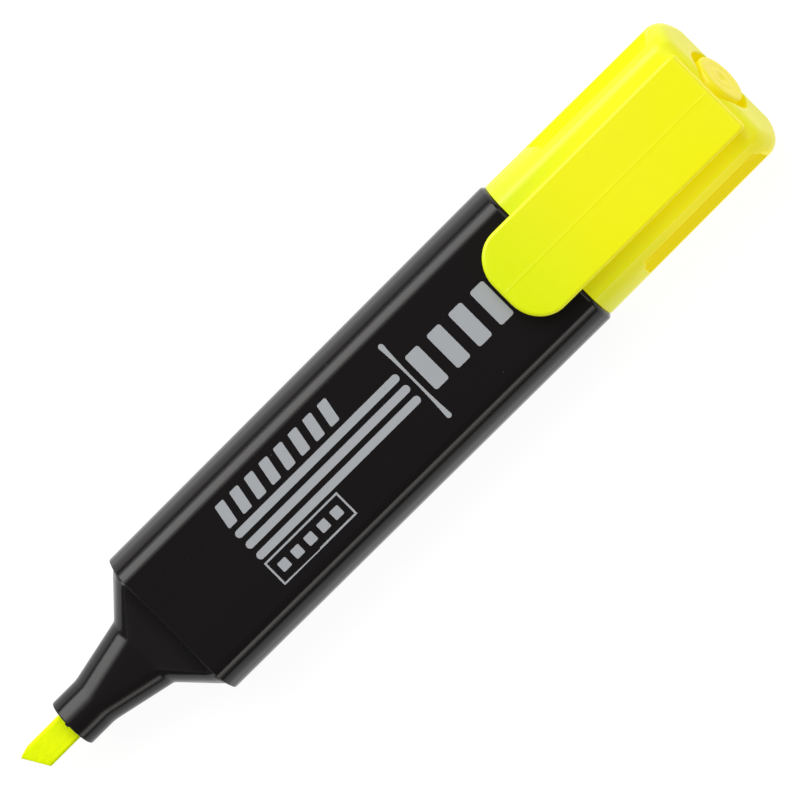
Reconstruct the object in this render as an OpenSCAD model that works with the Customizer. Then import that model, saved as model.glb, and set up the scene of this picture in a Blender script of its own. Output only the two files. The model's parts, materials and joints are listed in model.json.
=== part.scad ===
// Flat-bodied highlighter with its cap posted on the rear end.
// +X runs from the nib to the cap, Y is across the broad face and +Z comes out of the clip side.
// The pen lies on the barrel's back face. The origin is under the middle of its length, on that face.
// Inside the modules, x is measured from the barrel's front rim and y and z from the pen's axis.

/* [Barrel] */
// Length of the barrel
barrel_len = 76.1; // [60:0.1:90]
// Width of the barrel at its front rim
barrel_front_w = 25.8; // [24:0.1:30]
// Width of the barrel at its rear rim
barrel_rear_w = 26.2; // [24:0.1:30]
// Thickness of the barrel across its two broad faces
barrel_t = 13; // [12.4:0.1:15]
// Wall thickness of the barrel
barrel_wall = 1.2; // [1:0.1:1.4]
// Length of the bevel on the rear rim
rim_bevel = 0.45; // [0.3:0.1:1.2]
// Depth of the bevel on the rear rim
rim_bevel_depth = 0.35; // [0.1:0.05:0.5]
// Easing of the front rim
rim_ease = 0.15; // [0.05:0.05:0.3]

/* [Section] */
// Distance in from the outline to the edge of the flat broad face
face_inset = 3.5; // [2.8:0.05:4.5]
// Distance in from the outline to the corner between the bevel and the side
corner_inset = 1.4; // [1.2:0.05:1.7]
// Drop from the broad face to that corner
bevel_drop = 1.6; // [1.2:0.05:1.9]
// Height of the upright band along the middle of each side
side_band = 3; // [2.9:0.1:3.4]

/* [Nose] */
// Length of the nose in front of the barrel
nose_len = 20.7; // [18:0.1:24]
// Length of the straight neck that the cap seals on
neck_len = 4.2; // [3.5:0.1:6]
// Radius of the neck
neck_r = 4.05; // [3.9:0.05:4.1]
// Step from the neck up to the flare
neck_step = 0.05; // [0.02:0.01:0.1]
// Length of the steep shoulder next to the barrel
shoulder_len = 5.7; // [4:0.1:7]
// Width of the nose where the shoulder meets the flare
flare_w = 12.4; // [11:0.1:13]
// Thickness of the nose where the shoulder meets the flare
flare_t = 9.2; // [8.6:0.1:10]
// Corner radius of the nose where the shoulder meets the flare
flare_r = 4; // [3:0.1:4.2]
// Straight lip between the barrel's rim and the shoulder
lip_len = 0.5; // [0.2:0.1:0.8]
// Depth of the nose inside the barrel
nose_plug_len = 8; // [5:0.5:10]
// Distance from the front rim to the pocket behind the shoulder
pocket_x = 0.6; // [0.3:0.1:1.5]
// Radius of the collar that holds the nib inside the nose
collar_r = 3.4; // [3:0.1:3.6]
// Wall of the nose plug round its pocket
nose_wall = 1; // [0.8:0.1:1.5]

/* [Nib] */
// Length of the nib in front of the neck, to its long point
nib_out = 8.8; // [7:0.1:10]
// Width of the nib
nib_w = 4.5; // [4:0.1:5]
// Thickness of the nib
nib_t = 3.4; // [2.6:0.1:3.8]
// Length by which the short corner lies behind the long point
nib_slant = 2.3; // [1.5:0.1:3]
// Length of the small chamfer beside the long point
nib_chamfer = 1.8; // [1:0.05:2.5]
// Depth of that chamfer
nib_chamfer_depth = 0.5; // [0.3:0.05:0.8]
// Thickness of the chisel edge
nib_edge_t = 1.6; // [1:0.1:2.4]
// Length over which the nib thins towards its edge
nib_taper_len = 4.2; // [3:0.1:6]
// How far the nib reaches behind the barrel's front rim
nib_in = 9; // [6:0.5:12]
// Length of the nib's pointed inner end
nib_point = 1; // [0.5:0.1:2]

/* [Reservoir] */
// Width of the ink reservoir with its film
reservoir_w = 20.4; // [18:0.1:20.8]
// Thickness of the ink reservoir with its film
reservoir_t = 7.8; // [7:0.1:8]
// Thickness of the film
film_t = 0.2; // [0.1:0.05:0.3]
// Distance from the front rim to the start of the reservoir
reservoir_x = 3; // [2.5:0.1:5]
// Length of the reservoir
reservoir_len = 66; // [50:0.5:66]

/* [Rear plug] */
// Depth of the plug inside the barrel
rear_plug_len = 6; // [4:0.1:6]
// Length of the stub that the cap is posted on
stub_len = 6; // [4:0.1:8]
// Wall thickness of the stub along its sides
stub_wall = 1; // [0.8:0.1:1.5]
// Wall thickness of the stub's end
stub_end_wall = 1.5; // [1:0.1:2]
// Length of the lead-in at the stub's end
stub_lead = 1; // [0.5:0.1:2]
// Depth of that lead-in
stub_lead_depth = 0.6; // [0.3:0.1:0.8]

/* [Cap] */
// Length of the cap from its mouth to the end
cap_len = 35.3; // [33:0.1:38]
// Width of the cap at its mouth
cap_mouth_w = 25.4; // [25:0.1:25.6]
// Width of the cap near its closed end
cap_end_w = 25; // [24.6:0.1:25.4]
// Thickness of the cap
cap_t = 12.3; // [12:0.1:12.6]
// Distance in from the cap's outline to the edge of its flat broad face
cap_face_inset = 3.1; // [3:0.05:3.4]
// Wall thickness of the cap
cap_wall = 1.25; // [1:0.05:1.3]
// Radius of the rounded edge round the closed end
end_r = 2.4; // [2:0.1:3]
// Slope of the closed end towards the clip side, in degrees
end_slope = 11; // [0:1:14]
// Thickness of the closed end where it is lowest
end_wall = 1.6; // [1.2:0.1:2.4]
// Distance from the mouth to the side recesses
grip_x = 8.1; // [6:0.1:10]
// Length of the side recesses
grip_len = 24.2; // [18:0.1:26]
// Distance in from the cap's outline to the wall of the side recesses
grip_wall_inset = 1.9; // [1.6:0.05:2.2]
// Depth of the side recesses at that wall
grip_depth = 0.6; // [0.3:0.05:0.7]
// Radius of the round opening in the closed end
vent_r = 5.5; // [5:0.1:5.8]

/* [Inner cap] */
// Wall thickness of the sleeve that seals on the neck
sleeve_wall = 0.7; // [0.5:0.05:0.75]
// Distance from the cap's mouth to the sleeve's mouth
sleeve_x = 15.2; // [14.9:0.1:16]
// Radius of the boss that stands in the round opening
boss_r = 4.1; // [3.8:0.1:4.3]
// How far the boss stands out of the closed end where it is longest
boss_out = 0.8; // [0.4:0.1:1.2]
// Slope of the boss's end towards the clip side, in degrees
boss_slope = 16; // [8:1:18]
// Thickness of the sleeve's closed end, inside the boss
boss_wall = 1; // [0.6:0.1:1.4]
// Thickness of the two side fins
fin_t = 1; // [0.8:0.1:1.4]
// Length of the side fins
fin_len = 7.5; // [5:0.5:9]

/* [Clip] */
// Length of the clip
clip_len = 41.1; // [36:0.1:44]
// Width of the clip
clip_w = 14.6; // [12:0.1:16]
// Thickness of the clip
clip_t = 1.8; // [1.4:0.1:2.2]
// Gap between the clip and the cap
clip_gap = 0.9; // [0.7:0.05:1.2]
// Distance from the clip's root edge to the cap's closed end
clip_root_inset = 2.6; // [1.6:0.1:3]
// Length of the rounded corners at the clip's tip
clip_tip_len = 5.2; // [4:0.1:6]
// Width of the flat stretch of the clip's tip
clip_tip_flat = 3.4; // [2:0.1:6]
// Distance from the clip's root edge to its flexing line
clip_flex_x = 2.1; // [1.8:0.1:3]
// Radius of the rounded underside at the flexing line
clip_knuckle_r = 1.2; // [1:0.05:1.4]

/* [Fits] */
// Gap between parts of different bodies that face each other
body_gap = 0.15; // [0.1:0.01:0.3]
// Clearance of a pushed-in part
push_gap = 0.05; // [0.02:0.01:0.1]

/* [Hidden] */
black = [0.07, 0.06, 0.06];
fluo_yellow = [0.96, 1, 0.08];
nib_yellow = [0.85, 1, 0.02];
slab = 0.01;
pad = 1;
corner_steps = 5;
corner_radii = [6.5, 5.4, 2.6];
end_run = 5;
end_drop = (cap_t / 2 - end_r) * 2 * tan(end_slope);
x_max = barrel_len + cap_len + boss_out;
boss_x = x_max - boss_r * tan(boss_slope);
x_min = -nose_len - nib_out;
mid_x = (x_min + x_max) / 2;
plug_inset = barrel_wall + push_gap;
stub_inset = cap_wall + body_gap;
cap_x = barrel_len + body_gap;
cap_end_x = barrel_len + cap_len;
hollow_end_x = cap_end_x - end_drop - end_wall;
sleeve_r = neck_r + push_gap + sleeve_wall;
clip_root_x = cap_end_x - clip_root_inset;
clip_z = cap_t / 2 + clip_gap;
flex_x = clip_root_x - clip_flex_x;
flex_z = cap_t / 2 + body_gap + clip_knuckle_r;

// Unit vector along v
function unit(v) = v / norm(v);

// Arc of radius r that rounds the corner b between the points a and c
function rounded_corner(a, b, c, r) =
    let (u = unit(a - b), v = unit(c - b), half = acos(u * v) / 2)
    let (centre = b + unit(u + v) * r / sin(half), from = b + u * r / tan(half) - centre)
    let (turn = 180 - 2 * half, way = sign(cross(b - a, c - b)))
    [for (i = [0:corner_steps]) let (t = way * turn * i / corner_steps)
        centre + [from[0] * cos(t) - from[1] * sin(t), from[0] * sin(t) + from[1] * cos(t)]];

// Closed outline with every corner rounded by its own radius
function rounded_outline(points, radii) =
    let (n = len(points))
    [for (i = [0:n - 1]) each rounded_corner(points[(i + n - 1) % n], points[i], points[(i + 1) % n],
        radii[i])];

// Quarter of the pen's section, from the side band round to the broad face
function quarter(w, t, face_in, corner_in, drop) =
    [[w / 2, side_band / 2], [w / 2 - corner_in, t / 2 - drop], [w / 2 - face_in, t / 2]];

// Closed section with two broad faces, four bevels and two steep sides, from its quarter
function four_way(q, radii) =
    let (flip = [for (i = [2:-1:0]) [-q[i][0], q[i][1]]], half = concat(q, flip))
    let (half_radii = concat(radii, [for (i = [2:-1:0]) radii[i]]))
    rounded_outline(concat(half, [for (p = half) -p]), concat(half_radii, half_radii));

// Counter-clockwise outline moved inwards by the distance depth
function set_in(points, depth) =
    let (n = len(points))
    [for (i = [0:n - 1])
        let (along = unit(points[i] - points[(i + n - 1) % n]) + unit(points[(i + 1) % n] - points[i]))
        points[i] + [-along[1], along[0]] * 2 * depth / (along * along)];

// Outline of the barrel's section, set in by the distance inset
function pen_outline(w, inset = 0) =
    set_in(four_way(quarter(w, barrel_t, face_inset, corner_inset, bevel_drop), corner_radii), inset);

// Outline of the cap's section, set in by the distance inset
function cap_outline(w, inset = 0) =
    set_in(four_way(quarter(w, cap_t, cap_face_inset, corner_inset, bevel_drop), corner_radii), inset);

// Round outline with as many points as the sections, starting at the same side
function round_outline(r) =
    let (n = 12 * (corner_steps + 1))
    [for (i = [0:n - 1]) let (t = 360 * (i + 0.5) / n) [r * cos(t), r * sin(t)]];

// Outline of the nose where the shoulder meets the flare: a circle with its quarters moved apart
function flare_outline() =
    [for (p = round_outline(flare_r))
        p + [sign(p[0]) * (flare_w / 2 - flare_r), sign(p[1]) * (flare_t / 2 - flare_r)]];

// Outline drawn in Y and Z as a ring of points at x
function ring(x, outline) = [for (p = outline) [x, p[0], p[1]]];

// Closed skin through rings with equal numbers of points, in order of rising x
module lofted(rings) {
    n = len(rings[0]);
    last = (len(rings) - 1) * n;
    sides = [for (j = [0:len(rings) - 2], i = [0:n - 1])
        let (a = j * n + i, b = j * n + (i + 1) % n)
        each [[a, a + n, b + n], [a, b + n, b]]];
    ends = [[for (i = [0:n - 1]) i], [for (i = [n - 1:-1:0]) last + i]];
    polyhedron([for (r = rings) each r], concat(sides, ends));
}

// Extrudes a section drawn in Y and Z along X
module along_x(x, length) {
    translate([x, 0, 0]) rotate([90, 0, 90]) linear_extrude(length) children();
}

// Section with fully rounded short sides
module stadium(w, t) {
    square([w - t, t], center = true);
    for (side = [-1, 1]) translate([side * (w - t) / 2, 0]) circle(d = t, $fn = 64);
}

// Moves a part from the axis frame to the pen's own frame
module placed() {
    translate([-mid_x, 0, barrel_t / 2]) children();
}

module barrel_shell() {
    color(black) placed() difference() {
        lofted([ring(0, pen_outline(barrel_front_w, rim_ease)),
            ring(rim_ease, pen_outline(barrel_front_w)),
            ring(barrel_len - rim_bevel, pen_outline(barrel_rear_w)),
            ring(barrel_len, pen_outline(barrel_rear_w, rim_bevel_depth))]);
        along_x(-pad, barrel_len + 2 * pad) polygon(pen_outline(barrel_front_w, barrel_wall));
    }
}

// Slot for the nib, through everything that holds it
module nib_slot(x, length) {
    along_x(x, length) square([nib_w, nib_t], center = true);
}

module nose_section() {
    plug = pen_outline(barrel_front_w, plug_inset);
    color(black) placed() difference() {
        union() {
            lofted([ring(neck_len - nose_len, round_outline(neck_r + neck_step)),
                ring(-shoulder_len, flare_outline()), ring(-lip_len, plug), ring(nose_plug_len, plug)]);
            along_x(-nose_len, neck_len) circle(r = neck_r, $fn = 96);
        }
        difference() {
            along_x(pocket_x, nose_plug_len - pocket_x + pad)
                polygon(pen_outline(barrel_front_w, plug_inset + nose_wall));
            along_x(pocket_x - pad, pad - pocket_x + reservoir_x - push_gap)
                circle(r = collar_r, $fn = 64);
        }
        nib_slot(-nose_len - pad, nose_len + reservoir_x + 2 * pad);
    }
}

module nib() {
    tip = -nose_len - nib_out;
    side = nib_w / 2;
    color(nib_yellow) placed() intersection() {
        translate([0, 0, -nib_t / 2]) linear_extrude(nib_t)
            polygon([[tip, side - nib_chamfer_depth], [tip + nib_slant, -side], [nib_in - nib_point, -side],
                [nib_in, 0], [nib_in - nib_point, side], [tip + nib_chamfer, side]]);
        rotate([90, 0, 0]) translate([0, 0, -nib_w]) linear_extrude(2 * nib_w)
            polygon([[tip, -nib_edge_t / 2], [tip + nib_taper_len, -nib_t / 2], [nib_in, -nib_t / 2],
                [nib_in, nib_t / 2], [tip + nib_taper_len, nib_t / 2], [tip, nib_edge_t / 2]]);
    }
}

module ink_reservoir() {
    color([0.9, 1, 0.35]) placed() difference() {
        along_x(reservoir_x, reservoir_len) stadium(reservoir_w - 2 * film_t, reservoir_t - 2 * film_t);
        nib_slot(reservoir_x - pad, nib_in - reservoir_x + pad);
    }
}

module reservoir_film() {
    color([0.95, 0.95, 0.9]) placed() difference() {
        along_x(reservoir_x, reservoir_len) stadium(reservoir_w, reservoir_t);
        along_x(reservoir_x - pad, reservoir_len + 2 * pad)
            stadium(reservoir_w - 2 * film_t, reservoir_t - 2 * film_t);
    }
}

module rear_plug() {
    stub_end = barrel_len + stub_len;
    stub = cap_outline(cap_mouth_w, stub_inset);
    color(black) placed() difference() {
        union() {
            along_x(barrel_len - rear_plug_len, rear_plug_len)
                polygon(pen_outline(barrel_front_w, plug_inset));
            lofted([ring(barrel_len - pad, stub), ring(stub_end - stub_lead, stub),
                ring(stub_end, cap_outline(cap_mouth_w, stub_inset + stub_lead_depth))]);
        }
        along_x(barrel_len - rear_plug_len - pad, rear_plug_len + pad + stub_len - stub_end_wall)
            polygon(cap_outline(cap_mouth_w, stub_inset + stub_wall));
    }
}

// Solid form of the cap, closed end rounded all round and sloping towards the clip side
module cap_form() {
    bevel_angle = atan2(bevel_drop, cap_face_inset - corner_inset);
    row_y = cap_end_w / 2 - cap_face_inset - end_r * tan(bevel_angle / 2);
    row_z = cap_t / 2 - end_r;
    hull() {
        along_x(cap_x, slab) polygon(cap_outline(cap_mouth_w));
        along_x(cap_end_x - end_run, slab) polygon(cap_outline(cap_end_w));
        for (side = [-1, 1]) {
            translate([cap_end_x - end_r, side * row_y, -row_z]) sphere(end_r, $fn = 32);
            translate([cap_end_x - end_drop - end_r, side * row_y, row_z]) sphere(end_r, $fn = 32);
            translate([cap_end_x - end_drop / 2 - end_r, side * (cap_end_w / 2 - end_r), 0])
                sphere(end_r, $fn = 32);
        }
    }
}

// One side recess: the corner between the bevel and the side is cut back to a steep floor
module grip_recess(side, up) {
    wall_y = cap_end_w / 2 - grip_wall_inset;
    share = (cap_face_inset - grip_wall_inset) / (cap_face_inset - corner_inset);
    floor_z = cap_t / 2 - bevel_drop * share - grip_depth;
    scale([1, side, up]) along_x(cap_x + grip_x, grip_len)
        polygon([[wall_y, cap_t], [wall_y, floor_z], [cap_end_w / 2 - slab, side_band / 2],
            [cap_end_w, side_band / 2], [cap_end_w, cap_t]]);
}

module cap_shell() {
    color(fluo_yellow) placed() difference() {
        cap_form();
        along_x(barrel_len - pad, hollow_end_x - barrel_len + pad)
            polygon(cap_outline(cap_mouth_w, cap_wall));
        along_x(hollow_end_x - pad, cap_len) circle(r = vent_r, $fn = 96);
        for (side = [-1, 1], up = [-1, 1]) grip_recess(side, up);
    }
}

module inner_cap() {
    mouth = barrel_len + sleeve_x;
    fin_w = cap_mouth_w - 2 * (cap_wall + push_gap);
    color(fluo_yellow) placed() difference() {
        union() {
            along_x(mouth, hollow_end_x - mouth) circle(r = sleeve_r, $fn = 96);
            along_x(hollow_end_x - slab, cap_len) circle(r = boss_r, $fn = 96);
            along_x(hollow_end_x - fin_len, fin_len) square([fin_w, fin_t], center = true);
        }
        along_x(mouth - pad, hollow_end_x - boss_wall - mouth + pad)
            circle(r = neck_r + push_gap, $fn = 96);
        translate([boss_x, 0, 0]) rotate([0, -boss_slope, 0])
            translate([0, -2 * boss_r, -4 * boss_r]) cube([cap_len, 4 * boss_r, 8 * boss_r]);
    }
}

// Plan of the clip: square root, elliptical corners at the tip
module clip_plan() {
    tip_x = clip_root_x - clip_len;
    reach = (clip_w - clip_tip_flat) / 2;
    corner = [for (a = [0:10:90]) [tip_x + clip_tip_len * (1 - cos(a)),
        clip_tip_flat / 2 + reach * sin(a)]];
    back = [for (i = [len(corner) - 1:-1:0]) [corner[i][0], -corner[i][1]]];
    polygon(concat(corner, [[clip_root_x, clip_w / 2], [clip_root_x, -clip_w / 2]], back));
}

module cap_clip() {
    color(fluo_yellow) placed() {
        translate([0, 0, clip_z]) linear_extrude(clip_t) clip_plan();
        translate([flex_x, clip_w / 2, flex_z]) rotate([90, 0, 0])
            cylinder(h = clip_w, r = clip_knuckle_r, $fn = 48);
    }
}

barrel_shell();
nose_section();
nib();
ink_reservoir();
reservoir_film();
rear_plug();
cap_shell();
inner_cap();
cap_clip();
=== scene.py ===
"""Looks of the highlighter. Shapes are built in millimetres, in the axis frame of the CAD part:
x from the barrel's front rim towards the cap, y and z from the pen's axis. place() moves them into
the frame, in metres."""
import json
from math import acos, atan2, cos, pi, radians, sin, sqrt, tan

import bpy
from mathutils import Matrix, Vector


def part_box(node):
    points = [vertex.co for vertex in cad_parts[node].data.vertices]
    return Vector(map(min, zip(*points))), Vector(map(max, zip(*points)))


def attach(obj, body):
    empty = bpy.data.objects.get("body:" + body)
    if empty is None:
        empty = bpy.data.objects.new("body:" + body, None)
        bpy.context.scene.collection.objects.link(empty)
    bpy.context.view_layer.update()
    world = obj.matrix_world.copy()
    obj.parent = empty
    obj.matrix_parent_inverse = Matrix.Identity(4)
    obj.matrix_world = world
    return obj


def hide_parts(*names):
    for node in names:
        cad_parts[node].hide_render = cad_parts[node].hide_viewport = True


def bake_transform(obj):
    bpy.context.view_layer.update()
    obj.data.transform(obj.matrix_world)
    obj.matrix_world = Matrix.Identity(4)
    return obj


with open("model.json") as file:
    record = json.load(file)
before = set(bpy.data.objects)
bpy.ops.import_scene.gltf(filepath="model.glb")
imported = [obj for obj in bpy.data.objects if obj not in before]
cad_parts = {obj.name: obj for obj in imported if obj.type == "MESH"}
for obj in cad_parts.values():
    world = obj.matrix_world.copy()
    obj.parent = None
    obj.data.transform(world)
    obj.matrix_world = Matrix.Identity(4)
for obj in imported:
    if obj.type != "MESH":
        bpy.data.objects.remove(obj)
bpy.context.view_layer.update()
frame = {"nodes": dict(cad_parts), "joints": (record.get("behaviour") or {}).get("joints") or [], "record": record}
MM = 0.001


# ---------------------------------------------------------------- sizes taken from the frame

def box_mm(node):
    """A CAD node's lowest and highest corners, in millimetres, in the axis frame."""
    low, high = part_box(node)
    return [Vector(((p.x - RIM_X) / MM, p.y / MM, (p.z - AXIS_Z) / MM)) for p in (low, high)]


BARREL_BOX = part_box("barrel_shell")
RIM_X = BARREL_BOX[0].x
AXIS_Z = (BARREL_BOX[0].z + BARREL_BOX[1].z) / 2

barrel_high = box_mm("barrel_shell")[1]
BARREL_LEN = barrel_high.x
BARREL_REAR_W = 2 * barrel_high.y
BARREL_FRONT_W = BARREL_REAR_W - 0.4
BARREL_T = 2 * barrel_high.z
BARREL_WALL = 1.2
PUSH_GAP = 0.05

nose_low, nose_high = box_mm("nose_section")
NOSE_LEN = -nose_low.x
NOSE_IN = nose_high.x
neck_mount = [m for m in frame["record"]["mounts"] if m["name"] == "neck"][0]
NECK_R = neck_mount["dims"]["r_mm"]
NECK_LEN = neck_mount["dims"]["length_mm"]
SHOULDER_LEN = 5.7
FLARE_W = 12.4
FLARE_T = 9.2
FLARE_R = 4.0

nib_low, nib_high = box_mm("nib")
NIB_TIP = nib_low.x
NIB_SIDE = nib_high.y
NIB_T = 2 * nib_high.z
NIB_EDGE_T = 1.6

cap_low, cap_high = box_mm("cap_shell")
CAP_MOUTH = cap_low.x
CAP_END = cap_high.x
CAP_MOUTH_W = 2 * cap_high.y
CAP_END_W = CAP_MOUTH_W - 0.4
CAP_T = 2 * cap_high.z
CAP_WALL = 1.25
END_R = 2.4
END_SLOPE = tan(radians(11))
VENT_R = 5.5
HOLLOW_END = CAP_END - 2 * (CAP_T / 2 - END_R) * END_SLOPE - 1.6

sleeve_low, sleeve_high = box_mm("inner_cap")
SLEEVE_MOUTH = sleeve_low.x
SLEEVE_R = sleeve_high.z
BOSS_R = 4.1
BOSS_SLOPE = tan(radians(16))
BOSS_TIP = sleeve_high.x

plug_low, plug_high = box_mm("rear_plug")
STUB_END = plug_high.x

clip_low, clip_high = box_mm("cap_clip")
CLIP_TOP = clip_high.z
CLIP_T = 1.8
flex_joint = [j for j in frame["joints"] if j["name"] == "clip_flex"][0]
FLEX_X = (flex_joint["pos_m"][0] - RIM_X) / MM

# The pen's section, shared by barrel, nose, plug and cap
SIDE_BAND = 3.0
FACE_INSET = 3.5
CAP_FACE_INSET = 3.1
CORNER_INSET = 1.4
BEVEL_DROP = 1.6
SECTION_RADII = (6.5, 5.4, 2.6)
CAP_RADII = (6.5, 5.4, 1.3)
ARC_STEPS = 10


# ---------------------------------------------------------------- outlines and lofts

def rounded_corner(a, b, c, r, steps=ARC_STEPS):
    """Arc of radius r that rounds the corner b between a and c, as steps + 1 points."""
    u, v = (a - b).normalized(), (c - b).normalized()
    half = acos(max(-1, min(1, u.dot(v)))) / 2
    centre = b + (u + v).normalized() * r / sin(half)
    start = b + u * r / tan(half) - centre
    turn = (pi - 2 * half) * (1 if (b - a).cross(c - b) > 0 else -1)
    points = []
    for i in range(steps + 1):
        t = turn * i / steps
        x = start.x * cos(t) - start.y * sin(t)
        y = start.x * sin(t) + start.y * cos(t)
        points.append(centre + Vector((x, y)))
    return points


def between(a, b, count):
    """count points evenly inside the line from a to b."""
    return [a.lerp(b, (i + 1) / (count + 1)) for i in range(count)]


def quarter_line(w, t, face_in, radii=SECTION_RADII):
    """Quarter of the pen's section, a dense line from the middle of its side to that of its face."""
    corners = [Vector((w / 2, SIDE_BAND / 2)), Vector((w / 2 - CORNER_INSET, t / 2 - BEVEL_DROP)),
               Vector((w / 2 - face_in, t / 2))]
    ends = [Vector((w / 2, 0))] + corners + [Vector((0, t / 2))]
    line = [ends[0]]
    for i, r in enumerate(radii):
        line += rounded_corner(ends[i], ends[i + 1], ends[i + 2], r)
    return line + between(line[-1], ends[4], 5) + [ends[4]]


def mirrored(quarter):
    """Closed outline from a quarter that runs from the middle of the side to the middle of the face."""
    half = quarter + [Vector((-p.x, p.y)) for p in reversed(quarter[:-1])]
    return half + [-p for p in half[1:-1]]


def pen_section(w, inset=0.0):
    """The barrel's section, set in from its outline."""
    return set_in(mirrored(quarter_line(w, BARREL_T, FACE_INSET)), inset)


def set_in(outline, depth):
    """Outline moved inwards along its own normals."""
    n = len(outline)
    moved = []
    for i, p in enumerate(outline):
        along = (outline[(i + 1) % n] - outline[i - 1]).normalized()
        moved.append(p + Vector((-along.y, along.x)) * depth)
    return moved


def flare_section(round_form):
    """Section where the shoulder meets the flare: the circle round_form with its quarters moved apart."""
    out_y, out_z = FLARE_W / 2 - FLARE_R, FLARE_T / 2 - FLARE_R
    points = []
    for p in round_form:
        y = p.x + out_y * max(-1, min(1, p.x * 2))
        z = p.y + out_z * max(-1, min(1, p.y * 2))
        points.append(Vector((y, z)))
    return points


def circle_like(section, r):
    """Circle of radius r whose points face the same way as the section's own points."""
    n = len(section)
    angles = []
    for i in range(n):
        side = section[(i + 1) % n] - section[i - 1]
        angles.append(atan2(-side.x, side.y))
    points = [Vector((r * cos(a), r * sin(a))) for a in angles]
    return spread_repeats(points, angles, r)


def spread_repeats(points, angles, r):
    """Moves points of a circle that share one direction apart, evenly towards their neighbours."""
    n = len(points)
    turns = [angles[0]]
    for a in angles[1:]:
        while a < turns[-1] - pi:
            a += 2 * pi
        turns.append(a)
    for _ in range(40):
        smooth = []
        for i in range(n):
            before = turns[i - 1] - (2 * pi if i == 0 else 0)
            after = turns[(i + 1) % n] + (2 * pi if i == n - 1 else 0)
            smooth.append((before + after) / 2)
        turns = smooth
    return [Vector((r * cos(a), r * sin(a))) for a in turns]


def ring_at(x, section):
    """Section points as a ring of 3-D points at x."""
    return [Vector((x, p.x, p.y)) for p in section]


def mix_rings(a, b, t):
    """The ring t of the way from a to b."""
    return [p.lerp(q, t) for p, q in zip(a, b)]


def clamp(t):
    return max(0, min(1, t))


def smooth_step(t):
    t = clamp(t)
    return t * t * (3 - 2 * t)


def circle_drop(t):
    """How far a quarter circle of radius 1 has dropped at t from its flat start."""
    return 1 - sqrt(1 - t * t)


def quarter_turn(steps, first=0):
    """Steps round a quarter circle of radius 1, as pairs: one value falls to 0, one rises to 1."""
    angles = [pi / 2 * k / steps for k in range(first, steps + 1)]
    return [(1 - sin(a), 1 - cos(a)) for a in angles]


def loft(rings, closed=False, caps=(False, False)):
    """Quads between rings of equal length. closed joins the last ring to the first."""
    n = len(rings[0])
    verts = [p for ring in rings for p in ring]
    faces = []
    for j in range(len(rings) if closed else len(rings) - 1):
        a, b = j * n, ((j + 1) % len(rings)) * n
        for i in range(n):
            k = (i + 1) % n
            faces.append((a + i, a + k, b + k, b + i))
    if caps[0]:
        faces.append(tuple(reversed(range(n))))
    if caps[1]:
        faces.append(tuple(range(len(verts) - n, len(verts))))
    return verts, faces


def place(p):
    """A point of the axis frame, in millimetres, as a point of the CAD frame, in metres."""
    return Vector((RIM_X + p[0] * MM, p[1] * MM, AXIS_Z + p[2] * MM))


def make(name, verts, faces, smooth_angle=38, deep=()):
    """Mesh object with outward normals and edges sharp above smooth_angle; deep lists faces to mark."""
    mesh = bpy.data.meshes.new(name)
    mesh.from_pydata([place(p) for p in verts], [], faces)
    if deep:
        marks = mesh.attributes.new("deep", "BOOLEAN", "FACE")
        for i in deep:
            marks.data[i].value = True
    mesh.validate()
    obj = bpy.data.objects.new(name, mesh)
    bpy.context.scene.collection.objects.link(obj)
    bpy.ops.object.select_all(action="DESELECT")
    obj.select_set(True)
    bpy.context.view_layer.objects.active = obj
    bpy.ops.object.mode_set(mode="EDIT")
    bpy.ops.mesh.select_all(action="SELECT")
    bpy.ops.mesh.remove_doubles(threshold=1e-6)
    bpy.ops.mesh.normals_make_consistent(inside=False)
    bpy.ops.object.mode_set(mode="OBJECT")
    bpy.ops.object.shade_smooth_by_angle(angle=radians(smooth_angle))
    weighted = obj.modifiers.new("weighted", "WEIGHTED_NORMAL")
    weighted.keep_sharp = True
    bpy.ops.object.modifier_apply(modifier=weighted.name)
    return obj


# ---------------------------------------------------------------- materials

def principled(name, **values):
    """New node material. Each value is set on the shader's own socket."""
    mat = bpy.data.materials.new(name)
    mat.use_nodes = True
    shader = mat.node_tree.nodes["Principled BSDF"]
    for socket, value in values.items():
        shader.inputs[socket.replace("_", " ")].default_value = value
    return mat, shader


def node(mat, kind, **values):
    """New shader node. Values that name a socket go to it, the others are properties."""
    made = mat.node_tree.nodes.new(kind)
    for key, value in values.items():
        if key in made.inputs:
            made.inputs[key].default_value = value
        else:
            setattr(made, key, value)
    return made


def join(mat, source, output, target, socket):
    mat.node_tree.links.new(source.outputs[output], target.inputs[socket])


def noise(mat, scale, detail=3.0, stretch=(1, 1, 1)):
    """Noise in object space, scale in features a metre, stretched along the pen if asked."""
    coords = node(mat, "ShaderNodeTexCoord")
    mapping = node(mat, "ShaderNodeMapping")
    mapping.inputs["Scale"].default_value = stretch
    texture = node(mat, "ShaderNodeTexNoise", Scale=scale, Detail=detail)
    join(mat, coords, "Object", mapping, "Vector")
    join(mat, mapping, "Vector", texture, "Vector")
    return texture


def ramp(mat, source, output, low, high, colours):
    """Colour ramp from colours[0] at low to colours[1] at high."""
    made = node(mat, "ShaderNodeValToRGB")
    stops = made.color_ramp.elements
    stops[0].position, stops[1].position = low, high
    stops[0].color, stops[1].color = [(*c, 1) for c in colours]
    join(mat, source, output, made, "Fac")
    return made


def grey(v):
    return (v, v, v)


def cloudy(mat, texture, dark, light):
    """The two colours, mixed softly by a noise texture."""
    return ramp(mat, texture, "Fac", 0.3, 0.7, (dark, light))


def bump_chain(mat, shader, layers):
    """Bumps in a chain, each (height node, output, strength, distance in mm)."""
    previous = None
    for source, output, strength, distance in layers:
        bump = node(mat, "ShaderNodeBump", Strength=strength, Distance=distance * MM)
        join(mat, source, output, bump, "Height")
        if previous:
            join(mat, previous, "Normal", bump, "Normal")
        previous = bump
    join(mat, previous, "Normal", shader, "Normal")


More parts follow.
